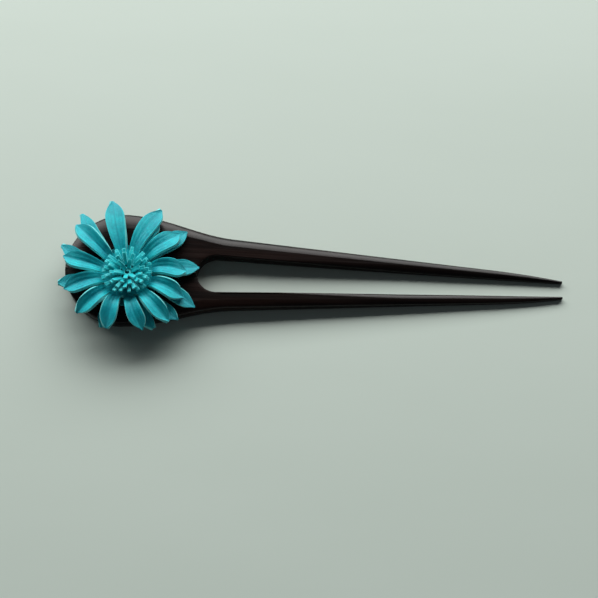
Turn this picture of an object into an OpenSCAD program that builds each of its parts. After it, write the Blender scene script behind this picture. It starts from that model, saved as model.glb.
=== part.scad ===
// Two-prong wooden hair fork with a leather daisy on its round head.
// Millimetres. The fork lies on its flat underside at z = 0 and its prongs run along +X.
// The origin is the centre of the head's underside. The flower stands on the head's top.

/* [Fork] */
// Distance from the centre of the head to the prong tips
reach = 145.5; // [125:0.1:165]
// Length of the round end of the head, behind its centre
head_end = 19.6; // [18:0.1:22]
// Width of the head
head_w = 38.4; // [36:0.1:42]
// Thickness of the head
head_t = 6; // [5:0.1:8]
// Thickness of the prongs at their tips
tip_t = 1.4; // [1.2:0.1:2]
// Width across both prongs where they would meet the head without its shoulders
root_w = 29.4; // [28:0.1:31]
// Width across both prongs at their tips, before the points are shaped
tip_w = 8.6; // [8:0.1:10]
// Distance from the centre of the head to the bottom of the slot between the prongs
slot_start = 24.1; // [22:0.1:28]
// Width of the slot at its round end
slot_w = 12.8; // [11:0.1:13.2]
// Width of the slot at the tips
slot_tip_w = 4.8; // [4.5:0.1:5.5]
// Distance that the slot starts off the middle, towards -Y
slot_off = 0.8; // [0:0.1:1.2]
// Length over which the prongs taper to their points
point_l = 27; // [15:1:35]
// Width of the bevel along the fork's top edges
bevel_w = 3.2; // [2:0.1:3.4]

/* [Flower] */
// Place of the flower's centre along the fork
flower_x = 1.6; // [0:0.1:4]
// Place of the flower's centre across the fork
flower_y = -3.4; // [-4:0.1:3]
// Radius of the uncut middle of each petal layer
hub_r = 8; // [7.8:0.1:8.4]
// Thickness of the petal leather
leather_t = 1; // [0.8:0.1:1]
// Radius of the leather disc that backs the flower
backing_r = 10.5; // [9:0.1:12]
// Height that the upper petals' edges stand above their creases
upper_cup = 1.4; // [0.8:0.1:1.6]

/* [Fringe] */
// Radius of the rolled band that carries the outer fringe
collar_r = 4.2; // [4:0.1:4.6]
// Height of the uncut band under the outer fringe
collar_h = 2.6; // [2.4:0.1:3]
// Radius of the inner roll
core_r = 2.1; // [1.9:0.1:2.3]
// Height of the uncut band of the inner roll
core_h = 3.4; // [3:0.1:3.8]
// Width of a fringe strip
strip_w = 0.9; // [0.7:0.1:1]
// Length of an outer fringe strip
strip_l = 4.2; // [3:0.1:4.5]

/* [Hidden] */
$fn = 48;

// Each petal, anticlockwise: direction of its root, direction of its tip, reach of its tip
// from the flower's centre, width, height of its tip above the hub, height of its arch, and
// depth of its trough as a share of the layer's
upper = [
    [-165, -162, 21, 5.4, 0, 1.6, 1], [-135, -136, 21, 5, -0.2, 1.7, 1],
    [-110, -105, 20, 5.2, -0.3, 1.8, 0.8], [-80, -71, 20.4, 5, -0.6, 1.9, 0.6],
    [-50, -47, 21.8, 5, -0.6, 1.9, 0.8], [-19, -22, 20.6, 5.4, -0.1, 1.7, 1],
    [14, 4, 19.4, 6, 0, 1.6, 1], [46, 41, 21.7, 6.2, 0, 1.8, 0.7],
    [78, 67, 24.8, 6, -0.3, 1, 0.3], [108, 105, 26.3, 6.2, -0.4, 0.9, 0.5],
    [139, 138, 24.2, 5.2, 0.1, 1.3, 1], [170, 167, 21.8, 5.4, 0.2, 1.5, 1]
];
lower = [
    [-165, -171, 22.8, 5, -1.2, 0.3, 1], [-136, -145, 18.5, 4.6, -1, 0.3, 1],
    [-112, -111, 19.8, 4.8, -1.2, 0.3, 1], [-74, -61, 20.6, 4.6, -1.2, 0.3, 1],
    [-46, -40, 22.9, 4.6, -1.2, 0.3, 1], [-18, -24, 24.9, 5, -1.2, 0.3, 1],
    [12, 9, 23.6, 5.4, -1.2, 0.3, 1], [43, 41, 24.6, 5.8, -1.2, 0.3, 1],
    [74, 66, 21.6, 5.2, -1.2, 0.3, 1], [104, 106, 22, 5, -1.2, 0.3, 1],
    [139, 128.5, 27, 5, -1.2, 0.3, 1], [170, 157, 24.6, 4.8, -1.2, 0.3, 1]
];

// Levels of the stacked pieces, from the head upwards
adhesive_t = 0.4;
backing_z = head_t + adhesive_t;
lower_z = backing_z + leather_t;
upper_z = lower_z + leather_t;
fringe_z = upper_z + leather_t;

function mix(a, b, s) = a + (b - a) * s;
function clamp01(s) = max(0, min(1, s));

// ---- Fork: one piece of wood, lofted through cross-sections along X ----

shoulder_h = (head_w - root_w) / 2;   // how far the head stands out past the prongs' line
shoulder_x = [2, 36];                 // where the shoulder leaves the head and ends
taper_x = 15;                         // the top is level as far as here, then slopes
edge_r = 0.5;                         // small bevel round the underside
bevel_drop = 0.4;                     // fall of the top bevel, as a share of its width
slot_r = slot_w / 2;

function shoulder(x) =
    let (s = clamp01((x - shoulder_x[0]) / (shoulder_x[1] - shoulder_x[0])))
    shoulder_h * (1 + cos(180 * s)) / 2;
function outer_line(x) =
    x < 0 ? head_w / 2 * sqrt(max(0, 1 - pow(x / head_end, 2)))
          : mix(root_w, tip_w, x / reach) / 2 + shoulder(x);
function slot_share(x) = clamp01((x - slot_start - slot_r) / (reach - slot_start - slot_r));
function slot_hw(x) =
    let (u = clamp01(1 - (x - slot_start) / slot_r))
    mix(slot_tip_w, slot_w, pow(1 - slot_share(x), 1.25)) / 2 * sqrt(1 - u * u);
// Distance from the fork's middle to the slot's edge, or to the slot's line in the head
function slot_line(x, side) =
    (x < slot_start ? 0 : slot_hw(x)) - side * slot_off * (1 - slot_share(x));

// Along the point, the outer edge curves in towards the slot, which stays straight
function point(x) = 1 - 0.62 * pow(clamp01((x - reach + point_l) / point_l), 3);
function outer(x, side) = mix(slot_line(x, side), outer_line(x), point(x));

function top_z(x) =
    mix(head_t, tip_t, clamp01((x - taper_x) / (reach - taper_x)))
    - bevel_w * bevel_drop * (1 - clamp01((x + head_end) / bevel_w));

// Half of the cross-section at x, from the slot's foot round the outside to the slot's top;
// side is 1 for the +Y half and -1 for the other.
// The bevel along the slot fades in over the last stretch of solid head.
function half_section(x, side) =
    let (o = outer(x, side), i = slot_line(x, side), t = top_z(x))
    let (b = min(bevel_w, (o - i) * 0.48), c = b * bevel_drop)
    let (r = min(edge_r, (o - i) / 5), q = clamp01((x - slot_start) / bevel_w + 1))
    let (n = b * mix(0.12, 1, clamp01((x - 52) / 40)), d = n * bevel_drop * q)   // slot side
    let (section = [
        [i, r * q], [i + r, 0], [o - r, 0], [o, r],
        [o, t - c], [o - b / 2, t - c * 0.4], [o - b, t],
        [i + n, t], [i + n / 2, t - d * 0.4], [i, t - d]
    ])
    [for (p = section) [x, side * p[0], p[1]]];

// Stations: round the head's end, along the solid head, round the slot's end, along the prongs
end_x = [for (a = [6 : 7 : 83]) -head_end * cos(a)];
head_x = [for (k = [0 : 7]) mix(0, slot_start, k / 8)];
slot_x = [for (a = [0 : 18 : 89]) slot_start + slot_r * (1 - cos(a))];
prong_x = [for (k = [0 : 22]) mix(slot_start + slot_r, reach, 1 - pow(1 - k / 22, 1.3))];
solid_x = concat(end_x, head_x, [slot_start]);
split_x = concat([for (k = [1 : len(slot_x) - 1]) slot_x[k]], prong_x);

half_n = len(half_section(0, 1));
ring_n = 2 * half_n - 2;              // a whole section shares its two middle points
solid_n = len(solid_x);
split_n = len(split_x);

function whole_section(x) =
    let (far = half_section(x, -1))
    concat(half_section(x, 1), [for (k = [half_n - 2 : -1 : 1]) far[k]]);
fork_points = concat(
    [for (x = solid_x) each whole_section(x)],
    [for (x = split_x) each half_section(x, 1)],
    [for (x = split_x) each half_section(x, -1)]
);

// Number of point k of station s on one side's prong; station 0 is the end of the solid head
function prong_point(side, s, k) =
    let (j = k % half_n)
    s > 0 ? solid_n * ring_n + ((side * split_n) + s - 1) * half_n + j
          : (solid_n - 1) * ring_n + (side == 0 || j == 0 ? j : ring_n - j) % ring_n;
function quad(a, b, c, d, turned) = turned ? [[a, c, b], [a, d, c]] : [[a, b, c], [a, c, d]];
fork_faces = concat(
    [[for (k = [0 : ring_n - 1]) (k + 3) % ring_n]],   // starts at a corner, not on the flat
    [for (s = [0 : solid_n - 2], k = [0 : ring_n - 1])
        let (m = (k + 1) % ring_n)
        each quad(s * ring_n + k, (s + 1) * ring_n + k,
                  (s + 1) * ring_n + m, s * ring_n + m, false)],
    [for (side = [0, 1], s = [0 : split_n - 1], k = [0 : half_n - 1])
        each quad(prong_point(side, s, k), prong_point(side, s + 1, k),
                  prong_point(side, s + 1, k + 1), prong_point(side, s, k + 1), side == 1)],
    [[for (k = [half_n - 1 : -1 : 0]) prong_point(0, split_n, k)]],
    [[for (k = [0 : half_n - 1]) prong_point(1, split_n, k)]]
);

module hair_fork() {
    color([0.14, 0.09, 0.08])
        polyhedron(points = fork_points, faces = fork_faces, convexity = 6);
}

// ---- Discs under the flower ----

module at_flower(z, off = [0, 0]) {
    translate([flower_x + off[0], flower_y + off[1], z]) children();
}

module adhesive_pad() {
    color([0.75, 0.72, 0.6])
        at_flower(head_t) cylinder(h = adhesive_t, r = backing_r - 1.5);
}

module backing_disc() {
    color([0.05, 0.45, 0.48])
        at_flower(backing_z) cylinder(h = leather_t, r = backing_r);
}

// ---- Petal layers: each is one sheet, cut into petals round an uncut middle ----

steps = 8;            // stations along a petal
across = [-1, -0.5, 0, 0.5, 1];
widest = 0.66;        // where a petal is widest, as a share of its length
tip_share = 0.12;     // width left at the very tip, as a share of the widest

base_hw = hub_r * sin(12);

function petal_hw(width, u) =
    u < widest ? mix(base_hw, width / 2, sin(90 * pow(u / widest, 1.2)))
               : width / 2 * max(tip_share, 1 - pow((u - widest) / (1 - widest), 2.2));

// Point of a petal: u runs from the hub to the tip, v across, lift adds to the height
function petal_point(petal, u, v, cup, lift) =
    let (a = mix(petal[0], petal[1], u))
    let (r0 = sqrt(pow(hub_r, 2) - pow(v * base_hw, 2)))
    let (r = mix(r0, petal[2], u), w = v * petal_hw(petal[3], u))
    [
        r * cos(a) - w * sin(a),
        r * sin(a) + w * cos(a),
        lift + petal[4] * u * u + petal[5] * sin(180 * pow(u, 0.8))
            + cup * petal[6] * abs(v) * (1 - pow(1 - u, 6)) * (1 - pow(u, 6))
    ];

module petal_layer(petals, cup) {
    n = len(petals);
    m = len(across);
    sheet = n * (steps + 1) * m;
    points = [
        for (lift = [0, leather_t], p = [0 : n - 1], s = [0 : steps], v = across)
            petal_point(petals[p], s / steps, v, cup, lift)
    ];
    function id(side, p, s, k) = side * sheet + ((p % n) * (steps + 1) + s) * m + k;
    faces = concat(
        [[for (p = [n - 1 : -1 : 0], k = [m - 1 : -1 : 0]) id(1, p, 0, k)]],
        [[for (p = [0 : n - 1], k = [0 : m - 1]) id(0, p, 0, k)]],
        [for (p = [0 : n - 1], s = [0 : steps - 1], k = [0 : m - 2])
            each quad(id(1, p, s, k), id(1, p, s, k + 1),
                      id(1, p, s + 1, k + 1), id(1, p, s + 1, k), false)],
        [for (p = [0 : n - 1], s = [0 : steps - 1], k = [0 : m - 2])
            each quad(id(0, p, s, k), id(0, p, s, k + 1),
                      id(0, p, s + 1, k + 1), id(0, p, s + 1, k), true)],
        [for (p = [0 : n - 1], s = [0 : steps - 1], e = [0, 1])
            let (k = e * (m - 1))
            each quad(id(0, p, s, k), id(0, p, s + 1, k),
                      id(1, p, s + 1, k), id(1, p, s, k), e == 0)],
        [for (p = [0 : n - 1], k = [0 : m - 2])
            each quad(id(0, p, steps, k), id(0, p, steps, k + 1),
                      id(1, p, steps, k + 1), id(1, p, steps, k), true)],
        [for (p = [0 : n - 1])
            each quad(id(0, p, 0, m - 1), id(0, p + 1, 0, 0),
                      id(1, p + 1, 0, 0), id(1, p, 0, m - 1), true)]
    );
    polyhedron(points = points, faces = faces, convexity = 10);
}

module lower_petals() {
    color([0.04, 0.55, 0.6])
        at_flower(lower_z) petal_layer(lower, cup = 0.4);
}

module upper_petals() {
    color([0.1, 0.68, 0.72])
        at_flower(upper_z) petal_layer(upper, cup = upper_cup);
}

// ---- Centre: a fringed strip rolled in two parts and bound with thread ----

thread_r = 0.3;
thread_turns = 3;
strip_t = 0.8;

fringe_off = [0.6, -0.6];    // the roll's centre, from the flower's

// Ring of strips that lean out from radius r at height z, by lean_far on the +Y side of the
// roll and by lean_near on its -Y side
module fringe(count, r, z, lean_far, lean_near, length, turn) {
    for (k = [0 : count - 1])
        let (a = turn + k * 360 / count)
        rotate([0, 0, a])
            translate([r, 0, z])
                rotate([0, mix(lean_near, lean_far, (1 + sin(a)) / 2), 0])
                    translate([-strip_t / 2, -strip_w / 2, -0.5])
                        cube([strip_t, strip_w, length * (1 + 0.1 * cos(a - 135)) + 0.5]);
}

module fringe_collar() {
    color([0.2, 0.72, 0.74])
        at_flower(fringe_z, fringe_off) {
            difference() {
                cylinder(h = collar_h, r = collar_r);
                translate([0, 0, -1]) cylinder(h = collar_h + 2, r = core_r);
            }
            fringe(20, collar_r - strip_t, collar_h - 0.4, 80, 72, strip_l, 0);
            fringe(16, collar_r - 1.4, collar_h - 0.2, 66, 40, strip_l, 9);
        }
}

module fringe_core() {
    color([0.35, 0.8, 0.8])
        at_flower(fringe_z, fringe_off) {
            cylinder(h = core_h, r = core_r);
            fringe(9, core_r - strip_t, core_h - 0.4, 62, 44, 2.8, 11);
        }
}

module binding_thread() {
    color([0.05, 0.35, 0.38])
        at_flower(fringe_z + thread_r, fringe_off)
            for (k = [0 : thread_turns - 1])
                translate([0, 0, k * thread_r * 1.8])
                    rotate_extrude() translate([collar_r + thread_r, 0]) circle(r = thread_r, $fn = 16);
}

hair_fork();
adhesive_pad();
backing_disc();
lower_petals();
upper_petals();
binding_thread();
fringe_collar();
fringe_core();
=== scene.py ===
import math
import random

import bmesh
import bpy
from mathutils import Matrix, Vector, noise


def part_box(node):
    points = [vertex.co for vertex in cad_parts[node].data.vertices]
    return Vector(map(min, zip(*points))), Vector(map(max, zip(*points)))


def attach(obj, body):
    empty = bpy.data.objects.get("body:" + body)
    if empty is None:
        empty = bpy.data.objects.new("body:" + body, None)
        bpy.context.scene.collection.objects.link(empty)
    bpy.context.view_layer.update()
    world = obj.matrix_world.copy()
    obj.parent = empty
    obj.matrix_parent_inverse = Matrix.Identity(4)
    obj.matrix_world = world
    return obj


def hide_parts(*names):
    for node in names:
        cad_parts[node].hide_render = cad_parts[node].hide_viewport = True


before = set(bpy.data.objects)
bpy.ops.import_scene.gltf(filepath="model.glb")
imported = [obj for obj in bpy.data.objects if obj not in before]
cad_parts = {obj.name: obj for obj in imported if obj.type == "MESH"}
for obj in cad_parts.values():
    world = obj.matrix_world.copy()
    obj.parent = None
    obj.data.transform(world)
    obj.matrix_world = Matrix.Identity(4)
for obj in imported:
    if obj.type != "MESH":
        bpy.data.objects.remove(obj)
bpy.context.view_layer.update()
mm = 0.001

# ---- Camera ----
# It looks down on the fork from the fork's -Y side, 70 degrees above the table. The prongs
# run to the right, turned a little clockwise.
camera_tilt = math.radians(20)      # away from straight down
camera_turn = math.radians(2.4)
camera_far = 450 * mm
view_width = 198.5 * mm             # width seen at that distance
camera_aim = Vector((58.1, -6.6, 0)) * mm

lens = bpy.data.cameras.new("camera")
lens.sensor_width = 36
lens.lens = lens.sensor_width * camera_far / view_width
lens.clip_start = 0.01
camera = bpy.data.objects.new("camera", lens)
bpy.context.scene.collection.objects.link(camera)
sight = Vector((0, math.sin(camera_tilt), -math.cos(camera_tilt)))
camera.matrix_world = (
    Matrix.Translation(camera_aim - sight * camera_far)
    @ Matrix.Rotation(camera_tilt, 4, "X")
    @ Matrix.Rotation(camera_turn, 4, "Z")
)
bpy.context.scene.camera = camera

# ---- Table ----
# A plain pale painted board that the fork lies on. It isn't part of the object.
table_side = 3.0


def add_node(tree, kind, inputs=(), **settings):
    """Adds a shader node. inputs pairs a socket's name or number with a value or a socket."""
    added = tree.nodes.new("ShaderNode" + kind)
    for name, value in settings.items():
        setattr(added, name, value)
    for socket, value in dict(inputs).items():
        if isinstance(value, bpy.types.NodeSocket):
            tree.links.new(value, added.inputs[socket])
        else:
            added.inputs[socket].default_value = value
    return added


def new_material(name, **surface):
    """A Principled material. Returns it with its tree and its shader."""
    material = bpy.data.materials.new(name)
    material.use_nodes = True
    shader = material.node_tree.nodes["Principled BSDF"]
    for socket, value in surface.items():
        shader.inputs[socket.replace("_", " ")].default_value = value
    return material, material.node_tree, shader


def new_piece(name, bm, *materials):
    """Makes a smooth-shaded mesh object from bm, in the frame, with its materials."""
    mesh = bpy.data.meshes.new(name)
    bm.to_mesh(mesh)
    bm.free()
    for material in materials:
        mesh.materials.append(material)
    mesh.shade_smooth()
    piece = bpy.data.objects.new(name, mesh)
    bpy.context.scene.collection.objects.link(piece)
    return piece


def scaled_pattern(tree, size):
    """Object coordinates, scaled so that a pattern's cells are about size long each way."""
    place = add_node(tree, "TexCoord").outputs["Object"]
    scale = [1 / side for side in size]
    return add_node(tree, "Mapping", {"Vector": place, "Scale": scale}).outputs["Vector"]


def blend_colours(tree, share, first, second):
    """A colour between first and second, as share goes from 0 to 1."""
    mixed = add_node(tree, "Mix", {0: share}, data_type="RGBA")
    for socket, colour in ((6, first), (7, second)):
        if isinstance(colour, bpy.types.NodeSocket):
            tree.links.new(colour, mixed.inputs[socket])
        else:
            mixed.inputs[socket].default_value = (*colour, 1)
    return mixed.outputs[2]


def remap(tree, value, low, high, out_low=0.0, out_high=1.0):
    """Stretches value from low..high to out_low..out_high, and clamps it there."""
    return add_node(tree, "MapRange", {
        "Value": value, "From Min": low, "From Max": high, "To Min": out_low, "To Max": out_high,
    }).outputs["Result"]


def noise_value(tree, vector, detail=3.0, roughness=0.55):
    """Noise with cells as wide as vector's unit. Its values crowd round 0.5."""
    return add_node(tree, "TexNoise", {
        "Vector": vector, "Scale": 1.0, "Detail": detail, "Roughness": roughness,
    }).outputs["Fac"]


board_paint, tree, shader = new_material("board_paint", Roughness=0.6)
drift = noise_value(tree, scaled_pattern(tree, (120 * mm, 40 * mm, 40 * mm)))
tint = blend_colours(tree, drift, (0.58, 0.67, 0.605), (0.62, 0.71, 0.65))
tree.links.new(tint, shader.inputs["Base Color"])

bm = bmesh.new()
bmesh.ops.create_grid(bm, x_segments=1, y_segments=1, size=table_side / 2)
table = new_piece("table", bm, board_paint)

# ---- Light ----
# A wide soft window low beyond the fork's +Y side, and dim light from all round.
window_bearing = math.radians(98)   # anticlockwise from +X
window_height = math.radians(32)    # above the table
window_far = 1.1                    # metres, as are its sides

window = bpy.data.lights.new("window", "AREA")
window.shape = "RECTANGLE"
window.size, window.size_y = 2.4, 0.6
window.energy = 29
window.color = (1.0, 1.0, 0.98)
holder = bpy.data.objects.new("window", window)
bpy.context.scene.collection.objects.link(holder)
level_part = math.cos(window_height)
away = Vector((
    math.cos(window_bearing) * level_part,
    math.sin(window_bearing) * level_part,
    math.sin(window_height),
))
facing = away.to_track_quat("Z", "Y").to_matrix().to_4x4()
holder.matrix_world = Matrix.Translation(camera_aim + away * window_far) @ facing

room = bpy.data.worlds.new("room")
room.use_nodes = True
tree = room.node_tree
sky_height = add_node(tree, "SeparateXYZ", {0: add_node(tree, "TexCoord").outputs["Generated"]})
glow = remap(tree, sky_height.outputs["Z"], 0.1, 0.7, 0.15, 0.035)
tree.links.new(glow, tree.nodes["Background"].inputs["Strength"])
tree.nodes["Background"].inputs["Color"].default_value = (0.86, 0.93, 1.0, 1)
bpy.context.scene.world = room
bpy.context.scene.view_settings.view_transform = "Standard"

# ---- Fork ----
# One piece of very dark, close-grained wood. It is sawn with its slot, then its top edges
# are bevelled by knife and file, so an arris runs along each prong, and it is oiled.
fork_low, fork_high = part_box("hair_fork")
reach = fork_high.x
head_end = -fork_low.x
head_half = fork_high.y
head_thick = fork_high.z
tip_thick = 1.4 * mm
root_half = 14.7 * mm               # half-width across both prongs, led back to the head
tip_half = 4.3 * mm                 # and led on to the tips
shoulder_from = 2 * mm
shoulder_to = 36 * mm
taper_from = 15 * mm                # the top is level as far as here
slot_from = 24.1 * mm
slot_round = 6.4 * mm               # half-width of the slot at its round end
slot_tip_half = 2.4 * mm
slot_off = 0.8 * mm                 # the slot starts this far towards -Y
slot_narrowing = 1.25               # above 1, the slot narrows faster near its round end
point_long = 27 * mm
point_cut = 0.62                    # share of a prong's width that its point loses
bevel_wide = 3.2 * mm
bevel_most = 0.46                   # widest bevel, as a share of a prong's width
head_bevel = 5.5 * mm               # the head's edge is rounded over from further in
bevel_fall = 0.4                    # fall of the bevel, as a share of its width
bevel_flat = 0.45                   # share of that fall which is straight, not curved
slot_bevel_from = 52 * mm           # the slot's own bevel is narrow as far as here
slot_bevel_full = 92 * mm           # and has its full width from here on
slot_bevel_least = 0.12             # the narrow part, as a share of the full width
foot_round = 0.9 * mm
arris_round = 0.3 * mm
slot_ease = 2 * mm                  # the slot's rounded edges grow over this length


def clamp01(s):
    return max(0.0, min(1.0, s))


def mix(a, b, s):
    return a + (b - a) * s


def slot_share(x):
    return clamp01((x - slot_from - slot_round) / (reach - slot_from - slot_round))


def slot_middle(x):
    return -slot_off * (1 - slot_share(x))


def slot_half(x):
    """Half-width of the slot at x, which is 0 at its round end and in the head."""
    u = clamp01(1 - (x - slot_from) / slot_round)
    wide = mix(slot_tip_half, slot_round, (1 - slot_share(x)) ** slot_narrowing)
    return wide * math.sqrt(1 - u * u)


def outline_half(x):
    """Half-width of the whole fork at x, before the points are shaped."""
    if x < 0:
        return head_half * math.sqrt(max(0.0, 1 - (x / head_end) ** 2))
    s = clamp01((x - shoulder_from) / (shoulder_to - shoulder_from))
    shoulder = (head_half - root_half) * (1 + math.cos(math.pi * s)) / 2
    return mix(root_half, tip_half, x / reach) + shoulder


def level(x):
    return mix(head_thick, tip_thick, clamp01((x - taper_from) / (reach - taper_from)))


def edge_distances(x, y, inner, outer):
    """Distances in plan from a point of the top to the outside edge and to the slot."""
    if x < 0:
        share = math.hypot(x / head_end, y / head_half)
        to_outside = (1 - share) * (head_end + head_half) / 2
    else:
        to_outside = outer - abs(y)
    slot_centre = slot_from + slot_round
    if x < slot_centre:
        to_slot = math.hypot(x - slot_centre, y + slot_off) - slot_round
    else:
        to_slot = abs(y) - inner
    return max(0.0, to_outside), max(0.0, to_slot)


def bevel_drop(distance, wide):
    """How far the bevel has fallen at a distance from its edge. It is slightly convex."""
    into = clamp01((wide - distance) / wide)
    fallen = bevel_flat * into + (1 - bevel_flat) * into ** 3
    return bevel_fall * min(wide, bevel_wide) * fallen


def fork_section(x, side):
    """Half of the cross-section at x, from the slot's foot round the outside to its top."""
    inner = slot_half(x) + side * slot_middle(x)
    point = 1 - point_cut * clamp01((x - reach + point_long) / point_long) ** 3
    outer = mix(inner, outline_half(x), point)
    wide = outer - inner
    widest_bevel = mix(head_bevel, bevel_wide, clamp01(x / slot_from))
    bevel = min(widest_bevel, bevel_most * wide)
    foot = min(foot_round, wide / 4)
    open_slot = clamp01((x - slot_from) / slot_ease + 1)
    fall_from = widest_bevel if x < 0 else bevel
    grown = clamp01((x - slot_bevel_from) / (slot_bevel_full - slot_bevel_from))
    slot_bevel = min(bevel, bevel_wide) * mix(slot_bevel_least, 1, grown)
    corner = min(arris_round, wide / 8)

    def top(y):
        to_outside, to_slot = edge_distances(x, side * y, inner, outer)
        return level(x) - bevel_drop(to_outside, fall_from) - bevel_drop(to_slot, slot_bevel)

    quarter = [math.radians(22.5 * step) for step in range(5)]
    section = []
    for a in quarter:
        section.append((inner + foot * (1 - math.cos(a)), foot * (1 - math.sin(a)) * open_slot))
    for a in quarter:
        section.append((outer - foot * (1 - math.sin(a)), foot * (1 - math.cos(a))))
    section.append((outer, mix(foot, top(outer) - corner, 0.5)))
    section.append((outer, top(outer) - corner))
    section.append((outer - corner * 0.3, top(outer) - corner * 0.3))
    across_bevel = (0, 0.1, 0.22, 0.38, 0.56, 0.78, 0.95, 1, 1.05)
    from_outside = [mix(corner, bevel, share) for share in across_bevel]
    from_slot = [mix(corner, slot_bevel, share) for share in (0, 0.25, 0.5, 0.75, 0.95, 1, 1.05)]
    section += [(outer - d, top(outer - d)) for d in from_outside]
    for step in (0.25, 0.5, 0.75):
        y = mix(outer - from_outside[-1], inner + from_slot[-1], step)
        section.append((y, top(y)))
    section += [(inner + d, top(inner + d)) for d in reversed(from_slot)]
    section.append((inner + corner * 0.3, top(inner) - corner * 0.3 * open_slot))
    section.append((inner, top(inner) - corner * open_slot))
    return [Vector((x, side * y, z)) for y, z in section]


def extrude_ring(bm, ring, places):
    """Extrudes a loop of vertices and moves the new ones to places, in order."""
    edges = [bm.edges.get(pair) for pair in zip(ring, ring[1:] + ring[:1])]
    made = bmesh.ops.extrude_edge_only(bm, edges=edges)["geom"]
    fresh = {v for v in made if isinstance(v, bmesh.types.BMVert)}
    following = []
    for old, place in zip(ring, places):
        new = next(e.other_vert(old) for e in old.link_edges if e.other_vert(old) in fresh)
        new.co = place
        following.append(new)
    return following


def first_ring(bm, places):
    """The loop of vertices that a piece is extruded from."""
    ring = [bm.verts.new(place) for place in places]
    for pair in zip(ring, ring[1:] + ring[:1]):
        bm.edges.new(pair)
    return ring


# Places along X of the cross-sections: in the head, beside the slot's round end, and along
# the prongs.
head_stations = [-head_end * math.cos(math.radians(a)) for a in range(4, 90, 4)]
head_stations += [slot_from * k / 26 for k in range(27)]
slot_stations = [slot_from + slot_round * (1 - math.cos(math.radians(a))) for a in range(6, 90, 6)]
prong_from = slot_from + slot_round
prong_stations = [mix(prong_from, reach, 1 - (1 - k / 90) ** 1.25) for k in range(91)]


def whole_section(x):
    """The head's cross-section: its +Y half, then its -Y half without the shared points."""
    far_half = fork_section(x, -1)
    return fork_section(x, 1) + far_half[-2:0:-1]


bm = bmesh.new()
half_count = len(fork_section(0, 1))
ring = first_ring(bm, whole_section(head_stations[0]))
bm.faces.new(ring)
for x in head_stations[1:]:
    ring = extrude_ring(bm, ring, whole_section(x))
bm.edges.new((ring[0], ring[half_count - 1]))
near_prong = ring[:half_count]
far_prong = [ring[0]] + ring[:half_count - 2:-1]
for side, prong in ((1, near_prong), (-1, far_prong)):
    for x in slot_stations + prong_stations:
        prong = extrude_ring(bm, prong, fork_section(x, side))
    bm.faces.new(prong)
bmesh.ops.recalc_face_normals(bm, faces=bm.faces)

oiled_wood, tree, shader = new_material("oiled_wood", Roughness=0.3, Specular_IOR_Level=0.24)
grain = noise_value(tree, scaled_pattern(tree, (45 * mm, 1.1 * mm, 1.6 * mm)), 6, 0.62)
streak = noise_value(tree, scaled_pattern(tree, (90 * mm, 4.5 * mm, 6 * mm)), 3, 0.5)
pores = noise_value(tree, scaled_pattern(tree, (3.2 * mm, 0.16 * mm, 0.22 * mm)), 2, 0.5)
dark = blend_colours(
    tree, remap(tree, grain, 0.35, 0.7), (0.001, 0.0008, 0.0008), (0.0036, 0.0022, 0.002)
)
along = add_node(tree, "SeparateXYZ", {0: add_node(tree, "TexCoord").outputs["Object"]})
redder = remap(tree, along.outputs["X"], 30 * mm, 90 * mm, 1.0, 0.3)  # near the head
red_share = add_node(
    tree, "Math", {0: remap(tree, streak, 0.42, 0.66), 1: redder}, operation="MULTIPLY"
).outputs[0]
wood_colour = blend_colours(tree, red_share, dark, (0.014, 0.006, 0.0045))
pore_share = remap(tree, pores, 0.6, 0.7, 0.0, 0.6)
tree.links.new(
    blend_colours(tree, pore_share, wood_colour, (0.0015, 0.001, 0.001)), shader.inputs["Base Color"]
)
tree.links.new(remap(tree, grain, 0.3, 0.7, 0.22, 0.34), shader.inputs["Roughness"])
bump = add_node(tree, "Bump", {"Strength": 0.25, "Distance": 0.04 * mm, "Height": grain})
tree.links.new(bump.outputs["Normal"], shader.inputs["Normal"])

fork = new_piece("carved_fork", bm, oiled_wood)
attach(fork, "root")
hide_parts("hair_fork")

# ---- Adhesive ----
# The film of contact adhesive that fixes the flower to the head. It is spread between the
# wood and the disc above, and a little squeezes out before it cures.
pad_low, pad_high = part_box("adhesive_pad")
pad_centre = (pad_low + pad_high) / 2
pad_radius = (pad_high.x - pad_low.x) / 2

pad_profile = ((0.97, 0.0), (1.02, 0.25), (1.03, 0.6), (1.0, 0.9), (0.94, 1.0))
pad_wander = 0.03                   # unevenness of its edge, as a share of the radius
pad_steps = 72


def pad_row(share, lift):
    """The pad's outline at share of its radius and lift of its height."""
    places = []
    for k in range(pad_steps):
        a = 2 * math.pi * k / pad_steps
        wander = 1 + pad_wander * noise.noise(Vector((math.cos(a), math.sin(a), 4.2)) * 2.4)
        r = pad_radius * share * wander
        z = mix(pad_low.z, pad_high.z, lift)
        places.append(Vector((pad_centre.x + r * math.cos(a), pad_centre.y + r * math.sin(a), z)))
    return places


bm = bmesh.new()
ring = first_ring(bm, pad_row(*pad_profile[0]))
bm.faces.new(ring)
for row in pad_profile[1:]:
    ring = extrude_ring(bm, ring, pad_row(*row))
bm.faces.new(ring)
bmesh.ops.recalc_face_normals(bm, faces=bm.faces)

cured_adhesive, tree, shader = new_material("cured_adhesive", Roughness=0.35)
shader.inputs["Subsurface Weight"].default_value = 0.3
shader.inputs["Subsurface Radius"].default_value = (1.0 * mm, 0.8 * mm, 0.5 * mm)
cloudy = noise_value(tree, scaled_pattern(tree, (3 * mm, 3 * mm, 3 * mm)))
tree.links.new(
    blend_colours(tree, cloudy, (0.42, 0.35, 0.22), (0.6, 0.55, 0.42)), shader.inputs["Base Color"]
)
adhesive = new_piece("adhesive_film", bm, cured_adhesive)
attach(adhesive, "root")
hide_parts("adhesive_pad")

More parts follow.
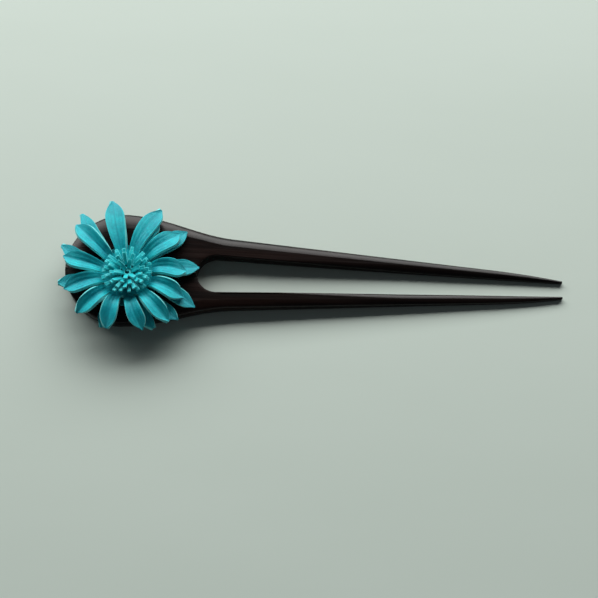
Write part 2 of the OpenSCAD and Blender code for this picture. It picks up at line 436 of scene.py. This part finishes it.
# ---- Backing ----
# A disc of the same leather, cut with a round punch and laid flesh side down. It closes the
# back of the flower and gives the adhesive a flat bed.
back_low, back_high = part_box("backing_disc")
back_centre = (back_low + back_high) / 2
back_radius = (back_high.x - back_low.x) / 2


def leather_material(name, pale, deep, flesh=False, petal=False):
    """Dyed leather: mottled dye, fine grain. The flesh side is matt and fibrous.

    A petal's map runs along it in U and across it in V. Its dye is streaked lengthwise.
    Its colour is darkened down the middle fold as painted shade, paler along both edges as
    wear and painted highlight, and paler towards the tip as a painted sheen.
    """
    material, tree, shader = new_material(name, Roughness=0.9 if flesh else 0.5)
    shader.inputs["Specular IOR Level"].default_value = 0.15 if flesh else 0.3
    mottle = noise_value(tree, scaled_pattern(tree, (4.5 * mm, 4.5 * mm, 4.5 * mm)), 4, 0.6)
    speck = noise_value(tree, scaled_pattern(tree, (0.9 * mm, 0.9 * mm, 0.9 * mm)), 3, 0.6)
    dye = blend_colours(tree, remap(tree, mottle, 0.3, 0.7), deep, pale)
    # A paler colour for the random worn specks and for the petals' edges. On the edges it is partly
    # wear and partly a painted highlight.
    wear_and_highlight_pale = [channel * 1.2 + 0.004 for channel in pale]
    dye = blend_colours(tree, remap(tree, speck, 0.52, 0.75, 0.0, 0.5), dye, wear_and_highlight_pale)
    cell = (0.22 if flesh else 0.45) * mm
    pebble = add_node(tree, "TexVoronoi", {
        "Vector": scaled_pattern(tree, (cell, cell, cell)), "Scale": 1.0,
    }, feature="SMOOTH_F1").outputs["Distance"]
    fine = noise_value(tree, scaled_pattern(tree, (cell * 3, cell * 3, cell * 3)), 4, 0.65)
    relief = add_node(tree, "Math", {0: pebble, 1: fine}, operation="ADD").outputs[0]
    if petal:
        chart = add_node(tree, "UVMap").outputs["UV"]
        stretched = add_node(tree, "Mapping", {"Vector": chart, "Scale": (2.5, 34, 1)})
        streak = noise_value(tree, stretched.outputs["Vector"], 3, 0.6)
        outwards, across = add_node(tree, "SeparateXYZ", {0: chart}).outputs[:2]
        off_middle = add_node(tree, "Math", {0: across, 1: 0.5}, operation="SUBTRACT")
        off_middle = add_node(tree, "Math", {0: off_middle.outputs[0]}, operation="ABSOLUTE")
        off_middle = off_middle.outputs[0]
        # Painted shade: the colour is darkened down the middle fold of each petal.
        crease_shade = remap(tree, off_middle, 0.06, 0.0, 0.0, 0.75)
        # Paler along both edges: partly wear, partly a painted highlight on the lit rims.
        edge_wear_and_highlight = remap(tree, off_middle, 0.43, 0.5, 0.0, 0.75)
        # Painted sheen: the colour turns paler and bluer towards the tip.
        tip_sheen = remap(tree, outwards, 0.6, 1.0, 0.0, 0.4)
        dye = blend_colours(tree, remap(tree, streak, 0.48, 0.7, 0.0, 0.75), dye, deep)
        dye = blend_colours(tree, crease_shade, dye, deep)
        dye = blend_colours(tree, edge_wear_and_highlight, dye, wear_and_highlight_pale)
        dye = blend_colours(tree, tip_sheen, dye, (0.07, 0.62, 0.72))
        deep_streak = add_node(tree, "Math", {0: streak, 1: 4.0}, operation="MULTIPLY")
        relief = add_node(
            tree, "Math", {0: relief, 1: deep_streak.outputs[0]}, operation="ADD"
        ).outputs[0]
    tree.links.new(dye, shader.inputs["Base Color"])
    bump = add_node(tree, "Bump", {"Strength": 0.45, "Distance": 0.11 * mm, "Height": relief})
    tree.links.new(bump.outputs["Normal"], shader.inputs["Normal"])
    if flesh:
        shader.inputs["Sheen Weight"].default_value = 0.15
    else:
        tree.links.new(remap(tree, speck, 0.3, 0.7, 0.4, 0.56), shader.inputs["Roughness"])
    return material


def disc_row(share, lift):
    """The disc's outline at share of its radius and lift of its thickness."""
    r = back_radius * share
    z = mix(back_low.z, back_high.z, lift)
    places = []
    for k in range(pad_steps):
        a = 2 * math.pi * k / pad_steps
        places.append(Vector((back_centre.x + r * math.cos(a), back_centre.y + r * math.sin(a), z)))
    return places


bm = bmesh.new()
ring = first_ring(bm, disc_row(0.985, 0.0))
bm.faces.new(ring)
for row in ((1.0, 0.15), (1.0, 0.85), (0.985, 1.0)):
    ring = extrude_ring(bm, ring, disc_row(*row))
bm.faces.new(ring)
bmesh.ops.recalc_face_normals(bm, faces=bm.faces)
suede = leather_material("suede", (0.004, 0.26, 0.30), (0.002, 0.17, 0.2), flesh=True)
backing = new_piece("backing_leather", bm, suede)
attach(backing, "root")
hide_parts("backing_disc")

# ---- Petal layers ----
# Two sheets of leather, each cut into twelve petals round an uncut middle. They are wetted
# and pressed, so each petal dries as a trough with a crease down its middle, and most tips
# droop. The upper sheet is glued on the lower one, with its petals arched.
hub_radius = 8 * mm
hide_thick = 1.0 * mm
flower_centre = Vector((back_centre.x, back_centre.y, 0))
widest_at = 0.66                    # where a petal is widest, as a share of its length
neck_half = hub_radius * math.sin(math.radians(12))
tip_least = 0.1                     # width left at the very tip, as a share of the full width
crease_soft = 0.005                 # rounds the crease over
crease_lift = 0.07                  # and how much that would raise it
pleat_high = 0.06 * mm
edge_wave_high = 0.14 * mm


def petal_half(width, u):
    """Half-width of a petal at u, which is 0 at its root and 1 at its tip."""
    if u < widest_at:
        return mix(neck_half, width / 2, math.sin(math.pi / 2 * (u / widest_at) ** 1.2))
    return width / 2 * max(tip_least, 1 - ((u - widest_at) / (1 - widest_at)) ** 2.2)


def leather_sheet(name, bm, thick, finishes):
    """A sheet of leather, thick below bm's faces, with eased cut edges."""
    sheet = new_piece(name, bm, *finishes)
    thicken = sheet.modifiers.new("hide", "SOLIDIFY")
    thicken.thickness = thick
    thicken.offset = -1
    thicken.material_offset = 1
    thicken.material_offset_rim = 2
    ease = sheet.modifiers.new("cut_edge", "BEVEL")
    ease.width = thick * 0.24
    ease.segments = 3
    ease.limit_method = "ANGLE"
    ease.angle_limit = math.radians(50)
    return sheet


def petal_sheet(name, petals, foot_z, cup, seed, finishes):
    """One layer: a grid for each petal, bent to its shape, joined to a flat middle."""
    chance = random.Random(seed)
    bm = bmesh.new()
    chart = bm.loops.layers.uv.new("petal")
    along, across = 28, 16
    hub_rim = []
    for root_turn, tip_turn, reach_mm, width_mm, tip_mm, arch_mm, depth in petals:
        twist = chance.uniform(-0.25, 0.25) * mm
        phase = chance.uniform(0, 6.28)
        deepen = depth * chance.uniform(0.9, 1.1)
        crease_off = chance.uniform(-0.12, 0.12)
        grid = bmesh.ops.create_grid(
            bm, x_segments=along, y_segments=across, size=1, calc_uvs=True
        )["verts"]
        foot = []
        for vert in grid:
            u, v = (vert.co.x + 1) / 2, vert.co.y
            start = math.sqrt(hub_radius ** 2 - (v * neck_half) ** 2)
            r = mix(start, reach_mm * mm, u)
            w = v * petal_half(width_mm * mm, u)
            a = math.radians(mix(root_turn, tip_turn, u))
            from_crease = v - crease_off * math.sin(math.pi * u)
            wall = math.sqrt(from_crease ** 2 + crease_soft) - crease_lift
            trough = cup * deepen * wall * (1 - (1 - u) ** 6) * (1 - u ** 6)
            bow = arch_mm * mm * math.sin(math.pi * u ** 0.8)
            pleat = pleat_high * math.sin(13 * v + phase) * math.sin(math.pi * u ** 0.6)
            edge_wave = edge_wave_high * math.sin(8 * u + phase + 2 * v) * v * v * u
            z = tip_mm * mm * u * u + bow + trough + pleat + edge_wave + twist * v * u * u
            vert.co = flower_centre + Vector((
                r * math.cos(a) - w * math.sin(a),
                r * math.sin(a) + w * math.cos(a),
                foot_z + hide_thick + (z if u > 1e-4 else 0),
            ))
            if u < 1e-4:
                foot.append((v, vert))
        hub_rim += [vert for v, vert in sorted(foot, key=lambda pair: pair[0])]
    for a, b in zip(hub_rim, hub_rim[1:] + hub_rim[:1]):
        if bm.edges.get((a, b)) is None:
            bm.edges.new((a, b))
    hub = bm.faces.new(hub_rim)
    for loop in hub.loops:          # the hub is plain leather: neither crease nor edge
        loop[chart].uv = (0.3, 0.3)
    return leather_sheet(name, bm, hide_thick, finishes)


dyed_grain = leather_material("dyed_grain", (0.002, 0.57, 0.63), (0.0005, 0.3, 0.39), petal=True)
dyed_flesh = leather_material("dyed_flesh", (0.003, 0.26, 0.32), (0.001, 0.17, 0.22), flesh=True)
# The cut edges' pale colour is partly the raw edge's own colour and partly a painted highlight on
# their lit rims.
cut_edge = leather_material("cut_edge", (0.22, 0.78, 0.79), (0.09, 0.58, 0.61), flesh=True)
petal_finishes = (dyed_grain, dyed_flesh, cut_edge)

lower_foot = back_high.z
lower_petals = (
    # direction of the root, direction of the tip, reach, width, height of the tip, height of
    # the arch, and depth of the trough as a share of the layer's
    (-165, -171, 22.8, 5.0, -1.2, 0.3, 1), (-136, -145, 18.5, 4.6, -1.0, 0.3, 1),
    (-112, -111, 19.8, 4.8, -1.2, 0.3, 1), (-74, -61, 20.6, 4.6, -1.2, 0.3, 1),
    (-46, -40, 22.9, 4.6, -1.2, 0.3, 1), (-18, -24, 24.9, 5.0, -1.2, 0.3, 1),
    (12, 9, 23.6, 5.4, -1.2, 0.3, 1), (43, 41, 24.6, 5.8, -1.2, 0.3, 1),
    (74, 66, 21.6, 5.2, -1.2, 0.3, 1), (104, 106, 22.0, 5.0, -1.2, 0.3, 1),
    (139, 128.5, 27.0, 5.0, -1.2, 0.3, 1), (170, 157, 24.6, 4.8, -1.2, 0.3, 1),
)
lower = petal_sheet("lower_daisy", lower_petals, lower_foot, 0.5 * mm, 3, petal_finishes)
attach(lower, "root")
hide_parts("lower_petals")

upper_foot = lower_foot + hide_thick
upper_petals = (
    (-165, -162, 21.0, 5.4, 0.0, 1.6, 1), (-135, -136, 21.0, 5.0, -0.2, 1.7, 1),
    (-110, -105, 20.0, 5.2, -0.3, 1.8, 0.8), (-80, -71, 20.4, 5.0, -0.6, 1.9, 0.6),
    (-50, -47, 21.8, 5.0, -0.6, 1.9, 0.8), (-19, -22, 20.6, 5.4, -0.1, 1.7, 1),
    (14, 4, 19.4, 6.0, 0.0, 1.6, 1), (46, 41, 21.7, 6.2, 0.0, 1.8, 0.7),
    (78, 67, 24.8, 6.0, -0.3, 1.0, 0.3), (108, 105, 26.3, 6.2, -0.4, 0.9, 0.5),
    (139, 138, 24.2, 5.2, 0.1, 1.3, 1), (170, 167, 21.8, 5.4, 0.2, 1.5, 1),
)
upper = petal_sheet("upper_daisy", upper_petals, upper_foot, 1.5 * mm, 8, petal_finishes)
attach(upper, "root")
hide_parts("upper_petals")

# ---- Binding thread ----
# Waxed three-ply thread, wound three times round the foot of the fringe roll and pulled
# tight. It holds the roll shut.
thread_low, thread_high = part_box("binding_thread")
roll_centre = (thread_low + thread_high) / 2
roll_centre.z = thread_low.z
thread_radius = 0.3 * mm
wind_radius = (thread_high.x - thread_low.x) / 2 - thread_radius
wind_turns = 3
wind_climb = thread_high.z - thread_low.z - 2 * thread_radius
ply_twists = 22                     # twists in each turn
ply_groove = 0.14                   # depth of the grooves between plies, as a share of the radius
thread_sides = 12
wind_steps = 420


def thread_ring(share):
    """The three-lobed section of the thread, share of the way along its winding."""
    a = 2 * math.pi * wind_turns * share
    outward = Vector((math.cos(a), math.sin(a), 0))
    centre = roll_centre + outward * wind_radius
    centre.z += thread_radius + wind_climb * share
    ring = []
    for k in range(thread_sides):
        b = 2 * math.pi * k / thread_sides
        r = thread_radius * (1 - ply_groove + ply_groove * math.cos(3 * b + ply_twists * a))
        ring.append(centre + r * (math.cos(b) * outward + Vector((0, 0, math.sin(b)))))
    return ring


bm = bmesh.new()
ring = first_ring(bm, thread_ring(0))
bm.faces.new(ring)
for step in range(1, wind_steps + 1):
    ring = extrude_ring(bm, ring, thread_ring(step / wind_steps))
bm.faces.new(ring)
bmesh.ops.recalc_face_normals(bm, faces=bm.faces)

waxed_thread, tree, shader = new_material("waxed_thread", Roughness=0.45)
fibre = noise_value(tree, scaled_pattern(tree, (0.2 * mm, 0.2 * mm, 0.6 * mm)), 4, 0.7)
tree.links.new(
    blend_colours(tree, fibre, (0.0, 0.06, 0.075), (0.01, 0.17, 0.19)), shader.inputs["Base Color"]
)
bump = add_node(tree, "Bump", {"Strength": 0.4, "Distance": 0.03 * mm, "Height": fibre})
tree.links.new(bump.outputs["Normal"], shader.inputs["Normal"])
thread = new_piece("wound_thread", bm, waxed_thread)
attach(thread, "root")
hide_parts("binding_thread")

# ---- Fringe collar ----
# A strip of the same leather, cut like a comb along one edge, is rolled up. Its outer teeth
# fan out over the petals: those on the +Y side bend over nearly flat, and those on the -Y
# side lean out straight, as a denser tuft.
collar_radius = wind_radius - thread_radius
collar_band = 2.6 * mm              # height of the uncut band
comb_thick = 0.7 * mm
turn_pitch = 0.85 * mm              # the roll tightens by this much in each turn
tooth_sunk = 0.3 * mm               # the teeth start this far below the band's edge


def comb_band(bm, radius, turns, foot_z, high):
    """The uncut band of the comb, as a spiral that tightens from radius."""
    steps = round(48 * turns)
    grid = bmesh.ops.create_grid(bm, x_segments=steps, y_segments=3, size=1, calc_uvs=True)
    for vert in grid["verts"]:
        share = (vert.co.x + 1) / 2
        a = 2 * math.pi * turns * share
        r = radius - turn_pitch * turns * share
        z = foot_z + high * (vert.co.y + 1) / 2
        vert.co = roll_centre + Vector((r * math.cos(a), r * math.sin(a), z - roll_centre.z))


def comb_tooth(bm, radius, bearing, foot_z, root_lean, end_lean, long, wide, chance):
    """One tooth. It bends from root_lean off upright at the band to end_lean at its end."""
    bearing += chance.uniform(-0.05, 0.05)
    lean_off = chance.uniform(-0.12, 0.12)
    long *= chance.uniform(0.92, 1.04) * (1 + 0.1 * math.cos(bearing - math.radians(135)))
    yaw = chance.uniform(-0.25, 0.25)
    twist = chance.uniform(-0.35, 0.35)
    hollow = chance.uniform(0.02, 0.1) * mm
    outward = Vector((math.cos(bearing), math.sin(bearing), 0))
    sideways = Vector((-math.sin(bearing), math.cos(bearing), 0))
    up = Vector((0, 0, 1))
    spine = [roll_centre + outward * radius + up * (foot_z - roll_centre.z)]
    steps = 8
    for step in range(steps):
        tilt = mix(root_lean, end_lean, (step / (steps - 1)) ** 0.8) + lean_off
        veer = yaw * step / steps
        ahead = math.sin(tilt) * (math.cos(veer) * outward + math.sin(veer) * sideways)
        spine.append(spine[-1] + (ahead + math.cos(tilt) * up) * long / steps)
    grid = bmesh.ops.create_grid(bm, x_segments=steps, y_segments=4, size=1, calc_uvs=True)
    for vert in grid["verts"]:
        at = (vert.co.x + 1) / 2 * steps
        k = min(steps - 1, int(at))
        v = vert.co.y
        course = (spine[k + 1] - spine[k]).normalized()
        across = (sideways - course * sideways.dot(course)).normalized()
        across = Matrix.Rotation(twist * at / steps, 3, course) @ across
        face = course.cross(across)
        place = spine[k].lerp(spine[k + 1], at - k)
        vert.co = place + across * (v * wide / 2) + face * (hollow * v * v)


def upright_share(bearing):
    """0 on the +Y side of the roll, 1 on its -Y side."""
    return (1 - math.sin(bearing)) / 2


chance = random.Random(41)
bm = bmesh.new()
bm.loops.layers.uv.new("comb")
comb_band(bm, collar_radius, 1.6, roll_centre.z, collar_band)
tooth_rows = (
    # teeth, radius, leans at root and end on the +Y side, the same on the -Y side, length, turn
    (18, 3.4, 62, 96, 74, 70, 4.9, 0.0),
    (15, 2.9, 52, 82, 56, 54, 4.7, 0.11),
    (12, 2.4, 38, 66, 42, 36, 4.1, 0.23),
)
tooth_foot = roll_centre.z + collar_band - tooth_sunk
for count, radius, far_root, far_end, near_root, near_end, long, turn in tooth_rows:
    for k in range(count):
        bearing = turn + 2 * math.pi * k / count
        share = upright_share(bearing) ** 2
        root_lean = math.radians(mix(far_root, near_root, share))
        end_lean = math.radians(mix(far_end, near_end, share))
        wide = chance.uniform(1.0, 1.3) * mm
        comb_tooth(
            bm, radius * mm, bearing, tooth_foot, root_lean, end_lean, long * mm, wide, chance
        )
fringe_grain = leather_material("fringe_grain", (0.02, 0.64, 0.67), (0.003, 0.4, 0.47))
fringe_cut = leather_material("fringe_cut", (0.12, 0.8, 0.83), (0.05, 0.65, 0.7), flesh=True)
fringe_finishes = (fringe_grain, dyed_flesh, fringe_cut)
collar = leather_sheet("fringe_roll", bm, comb_thick, fringe_finishes)
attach(collar, "root")
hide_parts("fringe_collar")

# ---- Fringe core ----
# The tight start of the same roll. Its few teeth stand up from a dark hollow in the middle
# of the flower, and those on the +Y side bend over further.
core_band = 2.5 * mm
core_teeth = 6
core_radius = 1.1 * mm              # of the ring of teeth
core_foot = roll_centre.z + core_band - tooth_sunk

chance = random.Random(17)
bm = bmesh.new()
bm.loops.layers.uv.new("comb")
comb_band(bm, 2.0 * mm, 1.4, roll_centre.z, core_band)
for k in range(core_teeth):
    bearing = 0.3 + 2 * math.pi * k / core_teeth
    share = upright_share(bearing)
    root_lean = math.radians(mix(22, 20, share))
    end_lean = math.radians(mix(80, 58, share))
    comb_tooth(
        bm, core_radius, bearing, core_foot, root_lean, end_lean, 3.8 * mm, 1.2 * mm, chance
    )
core = leather_sheet("roll_core", bm, comb_thick, fringe_finishes)
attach(core, "root")
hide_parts("fringe_core")
